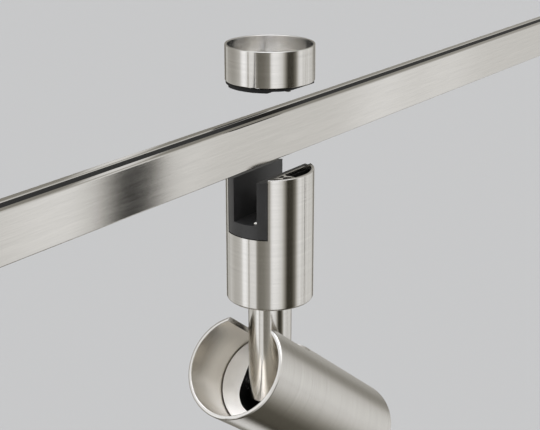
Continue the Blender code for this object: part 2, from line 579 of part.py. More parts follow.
def make_light_engine(head):
    """Heat sink, LED, reflector and lens, stacked along the tube."""
    rear_disc, front_disc = SINK_REAR + SINK_REAR_T, SINK_FRONT - SINK_FRONT_T
    profile = [(SINK_BORE_R, SINK_FRONT), (INNER_R, SINK_FRONT), (INNER_R, front_disc),
               (SINK_CORE_R, front_disc)]
    pitch = (front_disc - rear_disc) / (FIN_COUNT + 1)
    for i in range(FIN_COUNT):
        middle = front_disc - pitch * (i + 1)
        profile += [(SINK_CORE_R, middle + FIN_T / 2), (FIN_R, middle + FIN_T / 2),
                    (FIN_R, middle - FIN_T / 2), (SINK_CORE_R, middle - FIN_T / 2)]
    profile += [(SINK_CORE_R, rear_disc), (INNER_R, rear_disc), (INNER_R, SINK_REAR),
                (SINK_BORE_R, SINK_REAR)]
    sink = turned("heat_sink", profile, ALUMINIUM, MEDIUM, parent=head, along_x=True)
    for side, name in ((1, "left"), (-1, "right")):
        y = side * SINK_SCREW_AT
        combine(sink, rod("sink_hole_" + name, SINK_SCREW_R + GAP, (SINK_REAR - OVER, y, 0),
                          (SINK_FRONT + OVER, y, 0), parent=head))
        seat = SINK_FRONT - SINK_SCREW_HEAD_H - 2 * GAP
        combine(sink, rod("sink_counterbore_" + name, SINK_SCREW_HEAD_R + GAP, (seat, y, 0),
                          (SINK_FRONT + OVER, y, 0), parent=head))
        screw_piece("sink_screw_" + name, SINK_FRONT - GAP, SINK_SCREW_TIP, SINK_SCREW_HEAD_R,
                    SINK_SCREW_R, SINK_SCREW_HEAD_H, head, True, (0, y, 0))
    for side, name, colour in ((1, "live", LEAD_LIVE), (-1, "neutral", LEAD_NEUTRAL)):
        y = side * HEAD_LEAD_HALF
        wire("head_lead_" + name, [(HOUSING_SLOT_FRONT + 0.6, y, 0), (SINK_FRONT, y, 0)],
             HEAD_LEAD_R, colour, head)

    board_rear = SINK_FRONT + GAP
    board_front = board_rear + BOARD_T
    board = turned("led_board", [(0, board_front), (BOARD_R, board_front), (BOARD_R, board_rear),
                                 (0, board_rear)], BOARD_WHITE, MEDIUM, False, head, True)
    rest = board_front + GAP
    turned("led_emitter", [(0, rest + EMITTER_T), (EMITTER_R - 0.4, rest + EMITTER_T),
                           (EMITTER_R, rest + EMITTER_T - 0.4), (EMITTER_R, rest), (0, rest)],
           PHOSPHOR, MEDIUM, False, head, True)
    holder = turned("led_holder", [
        (CUP_THROAT_R - 0.2, rest + HOLDER_T), (HOLDER_R, rest + HOLDER_T), (HOLDER_R, rest),
        (EMITTER_R + 2 * GAP, rest), (EMITTER_R + 2 * GAP, rest + HOLDER_T / 2)],
        BLACK_PLASTIC, MEDIUM, True, head, True)
    for side, name in ((1, "left"), (-1, "right")):
        z = side * HOLDER_SCREW_AT
        for target in (holder, board, sink):
            combine(target, rod("%s_screw_hole_%s" % (target.name, name), HOLDER_SCREW_R + GAP,
                                (HOLDER_SCREW_TIP - 2.0, 0, z), (rest + OVER, 0, z), parent=head))
        screw_piece("holder_screw_" + name, rest + HOLDER_T + GAP + 1.0, HOLDER_SCREW_TIP, 1.5,
                    HOLDER_SCREW_R, 1.0, head, True, (0, 0, z))

    throat = rest + HOLDER_T + 2.0
    outer = []
    inner = []
    steps = 6
    for i in range(steps + 1):
        t = i / steps
        opened = math.sin(t * math.pi / 2) ** 0.9
        radius = CUP_THROAT_R + (CUP_MOUTH_R - CUP_THROAT_R) * opened
        outer.append((radius + CUP_WALL, throat + (CUP_MOUTH - throat) * t))
        inner.append((radius, throat + (CUP_MOUTH - throat) * t))
    rim = CUP_MOUTH + 1.0
    turned("reflector", [(RIM_R, rim), (RIM_R, CUP_MOUTH)] + outer[::-1] + inner +
           [(CUP_MOUTH_R, rim)], CHROME, MEDIUM, True, head, True)
    lens_rear = rim + GAP
    turned("lens", [(0, lens_rear + LENS_T), (9.0, lens_rear + LENS_T - 0.2),
                    (INNER_R, lens_rear + LENS_EDGE_T), (INNER_R, lens_rear), (0, lens_rear)],
           GLASS, MEDIUM, False, head, True)
    seal = lens_rear + LENS_EDGE_T + GAP
    turned("lens_gasket", [(RIM_R, seal + 1.0), (RIM_R, seal), (19.2, seal), (19.2, seal + 1.0)],
           RUBBER, MEDIUM, True, head, True)
    ring = seal + 1.0 + GAP
    turned("lens_ring", [
        (RING_R - 2.5, ring + RING_T - 0.4), (RING_R - 0.5, ring + RING_T),
        (RING_R, ring + RING_T - 0.5), (RING_R, ring), (RING_R - 2.8, ring),
        (RING_R - 2.8, ring + RING_T - 0.7)], NICKEL, ROUND, True, head, True)


def make_head(swivel):
    head = pivot("head_tilt_axis", (0, 0, PIVOT_Z), TILT, swivel)
    make_head_tube(head)
    make_pivot_housing(head)
    rod("pivot_pin", HINGE_R, (0, -HINGE_HALF, 0), (0, HINGE_HALF, 0), STEEL, 24, head)
    for side, name in ((-1, "front"), (1, "back")):
        washer = turned("pivot_washer_" + name, [
            (WASHER_R, WASHER_Y1), (WASHER_R, WASHER_Y0), (HINGE_R + GAP, WASHER_Y0),
            (HINGE_R + GAP, WASHER_Y1)], STEEL, 24, parent=head)
        washer.rotation_euler = (-side * math.pi / 2, 0.0, 0.0)
    make_light_engine(head)


clear_scene()
PARTS = new_collection("track_lighting_fixture")
CUTTERS = new_collection("cutters")
make_rail()
make_cap()
connector_lift = pivot("connector_lift_axis", (0, 0, 0))
make_connector_shell(connector_lift)
make_liner(connector_lift)
make_contacts(connector_lift)
make_connector_base(connector_lift)
stem_swivel = make_stem(connector_lift)
make_head(stem_swivel)
for piece in PARTS.objects:
    if piece.type == "MESH":
        smooth(piece.data)
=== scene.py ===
"""Looks of the track lighting fixture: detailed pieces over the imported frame, studio light and camera."""

import json
import math

import bmesh
import bpy
from mathutils import Matrix, Vector


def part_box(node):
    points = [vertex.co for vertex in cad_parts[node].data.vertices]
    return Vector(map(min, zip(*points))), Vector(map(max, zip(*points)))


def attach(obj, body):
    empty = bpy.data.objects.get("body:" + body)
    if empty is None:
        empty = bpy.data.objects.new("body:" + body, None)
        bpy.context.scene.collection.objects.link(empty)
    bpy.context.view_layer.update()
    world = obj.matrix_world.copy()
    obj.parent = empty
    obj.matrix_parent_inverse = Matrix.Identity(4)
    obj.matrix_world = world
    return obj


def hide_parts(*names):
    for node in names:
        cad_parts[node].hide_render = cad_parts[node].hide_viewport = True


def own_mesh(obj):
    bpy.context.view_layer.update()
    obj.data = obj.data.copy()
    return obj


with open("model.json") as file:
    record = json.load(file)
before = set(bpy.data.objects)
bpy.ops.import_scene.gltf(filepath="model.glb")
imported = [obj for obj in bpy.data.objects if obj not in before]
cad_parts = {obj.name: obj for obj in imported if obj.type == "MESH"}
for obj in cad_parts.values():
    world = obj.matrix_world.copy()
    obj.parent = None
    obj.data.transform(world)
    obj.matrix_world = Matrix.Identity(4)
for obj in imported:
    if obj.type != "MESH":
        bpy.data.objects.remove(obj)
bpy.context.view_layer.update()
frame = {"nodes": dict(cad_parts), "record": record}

MM = 0.001
FINE, MIDDLE, SMALL = 192, 96, 48     # segments round large, middling and small turned pieces
REACH = 30.0                  # how far cutters stick out past a piece, mm
ON_AXIS = 1e-6                # radii below this, mm, are points on the axis

# places read from the frame
con_low, con_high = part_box("connector_shell")
cap_low, cap_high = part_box("cap_shell")
rail_low, rail_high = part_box("rail_conductor_front")
rail_back_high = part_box("rail_conductor_back")[1]
stem_low, stem_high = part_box("stem_tube")
joints = {joint["name"]: joint for joint in frame["record"]["behaviour"]["joints"]}
pivot = Vector(joints["head_tilt"]["pos_m"]) / MM

CON_R = con_high.y / MM
CON_TOP = con_high.z / MM
CON_BOTTOM = con_low.z / MM
CAP_R = cap_high.y / MM
CAP_TOP = cap_high.z / MM
CAP_BOTTOM = cap_low.z / MM
STEM_R = stem_high.y / MM
STEM_BOTTOM = stem_low.z / MM

# sizes in mm, the same as the frame's
GAP = 0.3
TILT = math.radians(36.57)
RAIL_CORE_HALF = 1.85
SCREW_HOLE_R = 2.0
# cap
CAP_RIM_R, CAP_FLOOR_TOP = 17.8, 16.6
CAP_SCREW = (-5.8, -13.2)
CAP_SCREW_TIP = 12.0
PAD_SCREW_HOLE_R = 1.9
PAD_R, PAD_HALF, PAD_BOTTOM = 18.4, 16.2, 12.35
BAR_HALF, SHOULDER_BOTTOM = 9.9, 13.05
# connector
SLOT_HALF, SLOT_FLOOR = 10.29, -50.58
CHANNEL_HALF, CHANNEL_FLOOR = 5.95, -44.48
LINER_R, LINER_DROP = 18.75, 1.3
CAVITY_R, DECK_BOTTOM, JAW_CHORD = 17.6, -52.18, 11.09
JAW_START = math.degrees(math.asin(JAW_CHORD / CAVITY_R))
POCKET_DEPTH, POCKET_SHADE_DROP = 12.0, 1.6
BOSS_R, BOSS_DROP, THREAD_BOTTOM = 3.3, 1.0, -43.2
PIN_AT = (-14.6, -3.6)
PIN_R, PIN_HOLE_R = 1.4, 1.7
PIN_COLLAR_R, PIN_COLLAR_TOP, PIN_BOTTOM = 2.2, -52.5, -53.7
BASE_BORE, BASE_R, BASE_TOP, BASE_BOTTOM = 11.3, 17.3, -79.0, -82.0
SPANNER_AT, SPANNER_R = 14.2, 1.3
BUSH_BORE, BUSH_R = 9.85, 11.0
BUSH_FLANGE_R, BUSH_TOP, BUSH_FLANGE_BOTTOM = 14.0, -77.5, -78.7
# stem
STEM_BORE, STEM_BORE_END = 7.2, -118.0
LEAD_EXIT_R, LEAD_EXIT_Z = 2.6, -115.0
LEAD_AT, LEAD_HOLE_R = 2.6, 1.35
GROMMET_R, GROMMET_NECK_R, GROMMET_CROWN, GROMMET_DEPTH = 8.6, 6.9, 1.5, 3.5
PIVOT_BORE_R, PIVOT_PIN_R, PIVOT_PIN_HALF = 2.25, 2.0, 16.0
# head, along the tube from the pivot
TUBE_R, TUBE_BORE = 23.25, 21.42
TUBE_REAR, TUBE_FRONT = -32.9, 84.7
TUBE_SLOT = 11.4
HOUSING_R, HOUSING_REAR, HOUSING_FRONT = 21.1, -6.4, 15.0
HOUSING_SLOT, HOUSING_SLOT_U, HOUSING_SLOT_END = 10.4, -4.4, 11.4
HOUSING_LEAD_R = 3.0
REFLECTOR_START, REFLECTOR_MOUTH = 49.0 + 3.3, 76.0
REFLECTOR_THROAT_R, REFLECTOR_MOUTH_R = 9.2, 19.3
REFLECTOR_RIM_R, REFLECTOR_WALL = 20.9, 0.8
LENS_REAR, LENS_R, LENS_EDGE, LENS_CROWN = REFLECTOR_MOUTH + 1.3, 20.6, 1.8, 0.8

# the tube's own frame: local Z along the tube, towards the lens, and local X away from the slot
along = Vector((math.cos(TILT), 0.0, -math.sin(TILT)))
side = Vector((0.0, 1.0, 0.0))
under = side.cross(along)
HEAD = Matrix((
    (under.x, side.x, along.x, pivot.x * MM),
    (under.y, side.y, along.y, pivot.y * MM),
    (under.z, side.z, along.z, pivot.z * MM),
    (0.0, 0.0, 0.0, 1.0),
))
UPRIGHT = Matrix.Identity(4)

CAMERA_HEADING, CAMERA_PITCH = math.radians(35.64), math.radians(18.683)
CAMERA_PLACE = (-0.43129, -0.30926, 0.13413)
CAMERA_LENS = 86.95
FLOOR_HEIGHT, FLOOR_HALF = -1.6, 60.0     # metres


# ---------------------------------------------------------------- materials

class Nodes:
    """Small helper round a material's or world's node tree."""

    def __init__(self, tree):
        self.tree = tree

    def add(self, kind, **settings):
        node = self.tree.nodes.new(kind)
        for key, value in settings.items():
            setattr(node, key, value)
        return node

    def link(self, source, target):
        self.tree.links.new(source, target)

    def math(self, operation, first, second=None, third=None):
        node = self.add("ShaderNodeMath", operation=operation)
        for socket, value in zip(node.inputs, (first, second, third)):
            if value is None:
                continue
            if isinstance(value, (int, float)):
                socket.default_value = value
            else:
                self.link(value, socket)
        return node.outputs[0]

    def smooth_step(self, value, low, high):
        """0 up to low, 1 from high, and a smooth rise between."""
        node = self.add("ShaderNodeMapRange", interpolation_type="SMOOTHSTEP")
        node.inputs["From Min"].default_value = low
        node.inputs["From Max"].default_value = high
        self.link(value, node.inputs["Value"])
        return node.outputs["Result"]

    def blend(self, first, second, share):
        """first at a share of 0, second at 1."""
        rest = self.math("MULTIPLY", self.math("SUBTRACT", 1.0, share), first)
        return self.math("ADD", rest, self.math("MULTIPLY", share, second))

    def graph(self, value, stops, low, high):
        """Straight lines through stops of (value, level), over the range low to high."""
        ramp = self.add("ShaderNodeValToRGB")
        share = self.math("DIVIDE", self.math("SUBTRACT", value, low), high - low)
        self.link(share, ramp.inputs[0])
        marks = ramp.color_ramp.elements
        for i, (place, level) in enumerate(stops):
            position = (place - low) / (high - low)
            mark = marks[i] if i < 2 else marks.new(position)
            mark.position = position
            mark.color = (level, level, level, 1.0)
        return ramp.outputs["Color"]

    def noise(self, vector, scale, detail=3.0, roughness=0.55):
        node = self.add("ShaderNodeTexNoise")
        node.inputs["Scale"].default_value = scale
        node.inputs["Detail"].default_value = detail
        node.inputs["Roughness"].default_value = roughness
        self.link(vector, node.inputs["Vector"])
        return node.outputs["Fac"]

    def stretched(self, scale):
        """Object coordinates scaled by a different factor along each axis."""
        coords = self.add("ShaderNodeTexCoord")
        mapping = self.add("ShaderNodeMapping")
        mapping.inputs["Scale"].default_value = scale
        self.link(coords.outputs["Object"], mapping.inputs["Vector"])
        return mapping.outputs["Vector"]

    def spread(self, value, low, high):
        """Map 0.3..0.7 of a noise to low..high."""
        node = self.add("ShaderNodeMapRange")
        node.inputs["From Min"].default_value = 0.3
        node.inputs["From Max"].default_value = 0.7
        node.inputs["To Min"].default_value = low
        node.inputs["To Max"].default_value = high
        self.link(value, node.inputs["Value"])
        return node.outputs["Result"]


def new_material(name):
    """A node material, its node helper and its main shader."""
    material = bpy.data.materials.new(name)
    material.use_nodes = True
    nodes = Nodes(material.node_tree)
    shader = material.node_tree.nodes["Principled BSDF"]
    return material, nodes, shader


def tinted(nodes, shader, colour, factor):
    """Base colour times a varying brightness."""
    mix = nodes.add("ShaderNodeVectorMath", operation="SCALE")
    mix.inputs[0].default_value = colour
    nodes.link(factor, mix.inputs["Scale"])
    nodes.link(mix.outputs[0], shader.inputs["Base Color"])


def brushed_metal(name, colour, rough=(0.12, 0.17), across=3200.0, along=24.0, aniso=0.9, axis="Z",
                  relief=0.3, metallic=1.0):
    """Satin metal with fine parallel lines, which run round the axis, or along it on a bar (X).

    across and along are the lines' frequencies over and along their length, per metre.
    """
    material, nodes, shader = new_material(name)
    scale = {"Z": (along, along, across), "X": (along, across, across)}[axis]
    hair = nodes.noise(nodes.stretched(scale), 1.0, 5.0, 0.7)
    band = nodes.noise(nodes.stretched(tuple(value * 0.2 for value in scale)), 1.0, 2.0)
    cloud = nodes.noise(nodes.stretched((70.0,) * 3), 1.0, 3.0)
    lines = nodes.math("ADD", nodes.math("MULTIPLY", hair, 0.7), nodes.math("MULTIPLY", band, 0.3))
    tinted(nodes, shader, colour, nodes.spread(lines, 0.90, 1.07))
    wear = nodes.math("ADD", nodes.math("MULTIPLY", lines, 0.7), nodes.math("MULTIPLY", cloud, 0.3))
    nodes.link(nodes.spread(wear, *rough), shader.inputs["Roughness"])
    shader.inputs["Metallic"].default_value = metallic
    shader.inputs["Anisotropic"].default_value = aniso
    shader.inputs["Anisotropic Rotation"].default_value = 0.25 if axis == "Z" else 0.0
    tangent = nodes.add("ShaderNodeTangent", direction_type="RADIAL", axis=axis)
    nodes.link(tangent.outputs[0], shader.inputs["Tangent"])
    grooves = nodes.add("ShaderNodeBump")
    grooves.inputs["Strength"].default_value = relief
    grooves.inputs["Distance"].default_value = 0.000012
    nodes.link(hair, grooves.inputs["Height"])
    nodes.link(grooves.outputs[0], shader.inputs["Normal"])
    return material


def plain_metal(name, colour, rough=(0.18, 0.34), grain=900.0):
    """Machined metal with a faint uneven polish."""
    material, nodes, shader = new_material(name)
    grainy = nodes.noise(nodes.stretched((grain,) * 3), 1.0, 4.0)
    cloud = nodes.noise(nodes.stretched((120.0,) * 3), 1.0, 3.0)
    tinted(nodes, shader, colour, nodes.spread(cloud, 0.90, 1.05))
    nodes.link(nodes.spread(grainy, *rough), shader.inputs["Roughness"])
    shader.inputs["Metallic"].default_value = 1.0
    relief = nodes.add("ShaderNodeBump")
    relief.inputs["Strength"].default_value = 0.12
    relief.inputs["Distance"].default_value = 0.00002
    nodes.link(grainy, relief.inputs["Height"])
    nodes.link(relief.outputs[0], shader.inputs["Normal"])
    return material


def moulded(name, colour, rough=(0.40, 0.55), grain=2600.0, bump=0.35, specular=0.5):
    """Moulded plastic or rubber with a fine spark-eroded grain."""
    material, nodes, shader = new_material(name)
    pebbles = nodes.noise(nodes.stretched((grain,) * 3), 1.0, 2.0)
    cloud = nodes.noise(nodes.stretched((160.0,) * 3), 1.0, 3.0)
    tinted(nodes, shader, colour, nodes.spread(cloud, 0.85, 1.15))
    nodes.link(nodes.spread(pebbles, *rough), shader.inputs["Roughness"])
    shader.inputs["Specular IOR Level"].default_value = specular
    relief = nodes.add("ShaderNodeBump")
    relief.inputs["Strength"].default_value = bump
    relief.inputs["Distance"].default_value = 0.00003
    nodes.link(pebbles, relief.inputs["Height"])
    nodes.link(relief.outputs[0], shader.inputs["Normal"])
    return material


def clear_glass(name):
    """Clear glass with a slightly uneven polish."""
    material, nodes, shader = new_material(name)
    cloud = nodes.noise(nodes.stretched((90.0,) * 3), 1.0, 2.0)
    tinted(nodes, shader, (0.93, 0.97, 0.97), nodes.spread(cloud, 0.98, 1.0))
    nodes.link(nodes.spread(cloud, 0.02, 0.06), shader.inputs["Roughness"])
    shader.inputs["Transmission Weight"].default_value = 1.0
    shader.inputs["IOR"].default_value = 1.47
    return material


NICKEL = (0.70, 0.685, 0.66)
brushed = brushed_metal("brushed_nickel_round", NICKEL)
# painted light: the cap's inner wall is the same nickel, painted brighter than outside
cup_painted_light = brushed_metal("nickel_cup_painted_light", (0.92, 0.91, 0.89))
tube_brushed = brushed_metal("brushed_nickel_tube", NICKEL, (0.13, 0.19))
bore_brushed = brushed_metal("brushed_nickel_bore", (0.74, 0.70, 0.63), (0.18, 0.26))
rail_brushed = brushed_metal("brushed_nickel_rail", NICKEL, (0.07, 0.10), along=60.0, aniso=0.55,
                             axis="X", relief=0.12)
turned_aluminium = brushed_metal("turned_aluminium", (0.97, 0.965, 0.96), (0.24, 0.34), 2400.0, 30.0,
                                 aniso=0.5, metallic=0.45)
sink_metal = plain_metal("cast_sink", (0.62, 0.63, 0.64), (0.35, 0.5), 1400.0)
zinc = plain_metal("zinc_screw", (0.72, 0.72, 0.73), (0.16, 0.30))
plating = plain_metal("contact_plating", (0.80, 0.79, 0.76), (0.10, 0.22))
mirror = plain_metal("vapour_mirror", (0.90, 0.91, 0.92), (0.04, 0.10), 300.0)
black = moulded("black_plastic", (0.036, 0.036, 0.037), (0.34, 0.42), 2600.0, 0.06)
# near-black: the rail's insulator, and painted shade in the jaws' pockets and the pivot housing's slot
deep_black_and_painted_shade = moulded("deep_black_and_painted_shade", (0.006, 0.006, 0.006), (0.55, 0.70), 1800.0, 0.3, 0.2)
rubber = moulded("black_rubber", (0.010, 0.010, 0.010), (0.55, 0.72), 1800.0, 0.5, 0.3)
ivory = moulded("ivory_plastic", (0.70, 0.66, 0.55))
board_paint = moulded("board_paint", (0.80, 0.81, 0.79), (0.35, 0.45), 3000.0, 0.1)
phosphor = moulded("phosphor_gel", (0.92, 0.70, 0.12), (0.30, 0.42), 3500.0, 0.3)
brown_sleeve = moulded("brown_sleeve", (0.26, 0.09, 0.035), (0.30, 0.42), 1500.0, 0.1)
blue_sleeve = moulded("blue_sleeve", (0.04, 0.13, 0.46), (0.30, 0.42), 1500.0, 0.1)
glass = clear_glass("lens_glass")


# ---------------------------------------------------------------- geometry

def link(name, mesh, place=UPRIGHT):
    """Object of this mesh, in the scene at this place."""
    piece = bpy.data.objects.new(name, mesh)
    bpy.context.scene.collection.objects.link(piece)
    piece.matrix_world = place
    return piece


def from_form(name, form, place=UPRIGHT):
    """Object from a bmesh, which is used up."""
    bmesh.ops.recalc_face_normals(form, faces=form.faces)
    mesh = bpy.data.meshes.new(name)
    form.to_mesh(mesh)
    form.free()
    return link(name, mesh, place)


def rounded(profile, closed):
    """Profile points as (r, z) or (r, z, radius); a radius turns the corner into an arc."""
    count = len(profile)
    points = []
    for i, corner in enumerate(profile):
        here = Vector(corner[:2])
        radius = corner[2] if len(corner) > 2 else 0.0
        if not radius or (not closed and i in (0, count - 1)):
            points.append(here)
            continue
        before = (Vector(profile[i - 1][:2]) - here).normalized()
        after = (Vector(profile[(i + 1) % count][:2]) - here).normalized()
        half = before.angle(after) / 2
        reach = radius / math.tan(half)
        centre = here + (before + after).normalized() * (radius / math.sin(half))
        first, last = here + before * reach - centre, here + after * reach - centre
        sweep = first.angle_signed(last)
        steps = max(3, int(abs(sweep) / math.radians(15)))
        for k in range(steps + 1):
            angle = -sweep * k / steps
            turned = Vector((first.x * math.cos(angle) - first.y * math.sin(angle),
                             first.x * math.sin(angle) + first.y * math.cos(angle)))
            points.append(centre + turned)
    return points


def lathe(name, profile, segments=FINE, place=UPRIGHT, closed=True):
    """Turned form about local Z from a profile of (radius, height[, corner radius])."""
    points = rounded(profile, closed)
    form = bmesh.new()
    rings = []
    for r, z in points:
        if r < ON_AXIS:
            rings.append([form.verts.new((0.0, 0.0, z * MM))] * segments)
            continue
        ring = []
        for k in range(segments):
            angle = 2 * math.pi * k / segments
            ring.append(form.verts.new((r * math.cos(angle) * MM, r * math.sin(angle) * MM, z * MM)))
        rings.append(ring)
    pairs = list(zip(rings, rings[1:]))
    if closed:
        pairs.append((rings[-1], rings[0]))
    for low, high in pairs:
        for k in range(segments):
            n = (k + 1) % segments
            corners = []
            for vert in (low[k], low[n], high[n], high[k]):
                if vert not in corners:
                    corners.append(vert)
            if len(corners) > 2:
                form.faces.new(corners)
    return from_form(name, form, place)


def prism(name, outline, start, end, place=UPRIGHT, plane="XY"):
    """Outline extruded along the normal of its plane."""
    form = bmesh.new()
    verts = []
    for a, b in outline:
        spot = {"XY": (a, b, start), "YZ": (start, a, b)}[plane]
        verts.append(form.verts.new(Vector(spot) * MM))
    face = form.faces.new(verts)
    made = bmesh.ops.extrude_face_region(form, geom=[face])
    moved = [item for item in made["geom"] if isinstance(item, bmesh.types.BMVert)]
    shift = {"XY": (0, 0, end - start), "YZ": (end - start, 0, 0)}[plane]
    bmesh.ops.translate(form, vec=Vector(shift) * MM, verts=moved)
    return from_form(name, form, place)


def bar(name, radius, start, end, place=UPRIGHT, segments=SMALL):
    """Round bar between two points."""
    start, end = Vector(start) * MM, Vector(end) * MM
    turn = (end - start).to_track_quat("Z", "Y").to_matrix().to_4x4()
    form = bmesh.new()
    bmesh.ops.create_cone(form, cap_ends=True, segments=segments, radius1=radius * MM,
                          radius2=radius * MM, depth=(end - start).length,
                          matrix=Matrix.Translation((start + end) / 2) @ turn)
    return from_form(name, form, place)


def arc(radius, start, end, steps, centre=(0.0, 0.0)):
    """Points on an arc from the start angle to the end angle, in degrees."""
    points = []
    for i in range(steps + 1):
        angle = math.radians(start + (end - start) * i / steps)
        points.append((centre[0] + radius * math.cos(angle), centre[1] + radius * math.sin(angle)))
    return points


def twice(at):
    """A place in the plan and the one half a turn from it, as (sign, place)."""
    return [(sign, (sign * at[0], sign * at[1])) for sign in (1, -1)]


def apply_modifiers(piece):
    """Turn the piece's modifiers into its mesh."""
    bpy.context.view_layer.update()
    evaluated = piece.evaluated_get(bpy.context.evaluated_depsgraph_get())
    mesh = bpy.data.meshes.new_from_object(evaluated)
    old = piece.data
    piece.modifiers.clear()
    piece.data = mesh
    bpy.data.meshes.remove(old)


def carve(piece, *cutters, operation="DIFFERENCE"):
    """Boolean the cutters into the piece and remove them."""
    for cutter in cutters:
        step = piece.modifiers.new("carve", "BOOLEAN")
        step.operation = operation
        step.object = cutter
        step.solver = "EXACT"
    apply_modifiers(piece)
    for cutter in cutters:
        bpy.data.objects.remove(cutter, do_unlink=True)
    return piece


def soften(piece, width, segments=2, angle=35.0):
    """Small real radius on every sharp edge."""
    bevel = piece.modifiers.new("edge", "BEVEL")
    bevel.width = width * MM
    bevel.segments = segments
    bevel.limit_method = "ANGLE"
    bevel.angle_limit = math.radians(angle)
    bevel.use_clamp_overlap = True
    apply_modifiers(piece)
    return piece


def dress(piece, material, body, slot, *nodes, angle=30.0):
    """Shade, paint, attach, and hide the frame's nodes that the piece stands for."""
    piece.data.shade_smooth()
    piece.data.set_sharp_from_angle(angle=math.radians(angle))
    flat = piece.modifiers.new("flat_faces", "WEIGHTED_NORMAL")
    flat.keep_sharp = True
    apply_modifiers(piece)
    piece.data.materials.clear()
    piece.data.materials.append(material)
    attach(piece, body)
    if nodes:
        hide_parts(*nodes)
    return piece


def paint_faces(piece, material, chosen):
    """Second material on the faces whose centre's radius and height, in mm, are chosen."""
    piece.data.materials.append(material)
    for face in piece.data.polygons:
        centre = face.center / MM
        if chosen(math.hypot(centre.x, centre.y), centre.z):
            face.material_index = 1


def threaded_screw(name, under_head, head_r, head_h, shank_r, tip, place=UPRIGHT, pitch=0.7):
    """Pan-head screw with a driving slot and a real helical thread; it points down local Z."""
    run_out, lead_in, taper = 1.2, 0.8, 0.45
    depth, rows_per_turn = 0.26 * pitch, 8
    length = under_head - tip
    form = bmesh.new()
    columns = 32
    rows = int(length / pitch * rows_per_turn)
    grid = []
    for j in range(rows + 1):
        z = length * j / rows
        ring = []
        for k in range(columns):
            turn = k / columns
            phase = (z / pitch - turn) % 1.0
            ridge = abs(2.0 * phase - 1.0)
            fade = max(0.0, min(1.0, z / run_out, (length - z) / lead_in))
            r = shank_r - depth / 2 + depth * (ridge - 0.5) * fade
            if length - z < lead_in:
                r -= (lead_in - (length - z)) * taper
            angle = 2 * math.pi * turn
            ring.append(form.verts.new((r * math.cos(angle) * MM, r * math.sin(angle) * MM,
                                        (under_head - z) * MM)))
        grid.append(ring)
    for low, high in zip(grid, grid[1:]):
        for k in range(columns):
            n = (k + 1) % columns
            form.faces.new((low[k], low[n], high[n], high[k]))
    form.faces.new(grid[0])
    form.faces.new(grid[-1])
    shank = from_form(name, form, place)
    top = under_head + head_h
    head = lathe(name + "_head", [(0.0, top), (head_r, top, head_h * 0.45), (head_r, under_head, 0.1),
                                  (0.0, under_head)], 64, place, closed=False)
    low, high = top - head_h * 0.45, top + 0.5
    wide, half = head_r * 1.3, 0.35
    drive = prism(name + "_drive", [(-wide, -half), (wide, -half), (wide, half), (-wide, half)],
                  low, high, place)
    carve(head, drive)
    soften(head, 0.06, 2)
    return join(name, shank, head)


def join(name, *pieces):
    """One object from several closed solids."""
    form = bmesh.new()
    place = pieces[0].matrix_world.copy()
    for piece in pieces:
        mesh = piece.data.copy()
        mesh.transform(place.inverted() @ piece.matrix_world)
        form.from_mesh(mesh)
        bpy.data.meshes.remove(mesh)
    for piece in pieces:
        bpy.data.objects.remove(piece, do_unlink=True)
    mesh = bpy.data.meshes.new(name)
    form.to_mesh(mesh)
    form.free()
    return link(name, mesh, place)


# ---------------------------------------------------------------- rail

def make_rail():
    """Two metal bars with the insulating core between them."""
    half, core = rail_back_high.y / MM, RAIL_CORE_HALF
    x0, x1 = rail_low.x / MM, rail_high.x / MM
    height = -rail_low.z / MM
    for name, y0, y1 in (("rail_conductor_front", -half, -core - GAP),
                         ("rail_conductor_back", core + GAP, half)):
        outline = [(y0, -height), (y1, -height), (y1, 0.0), (y0, 0.0)]
        piece = prism("detailed_" + name, outline, x0, x1, plane="YZ")
        soften(piece, 0.55, 4)
        dress(piece, rail_brushed, "rail", "rail_metal", name)
    outline = [(-core - 0.2, -height + 0.3), (core + 0.2, -height + 0.3), (core + 0.2, -0.3),
               (-core - 0.2, -0.3)]
    piece = prism("detailed_rail_insulator", outline, x0 + 0.2, x1 - 0.2, plane="YZ")
    soften(piece, 0.25, 2)
    dress(piece, deep_black_and_painted_shade, "rail", "black_plastic", "rail_insulator")


# ---------------------------------------------------------------- cap

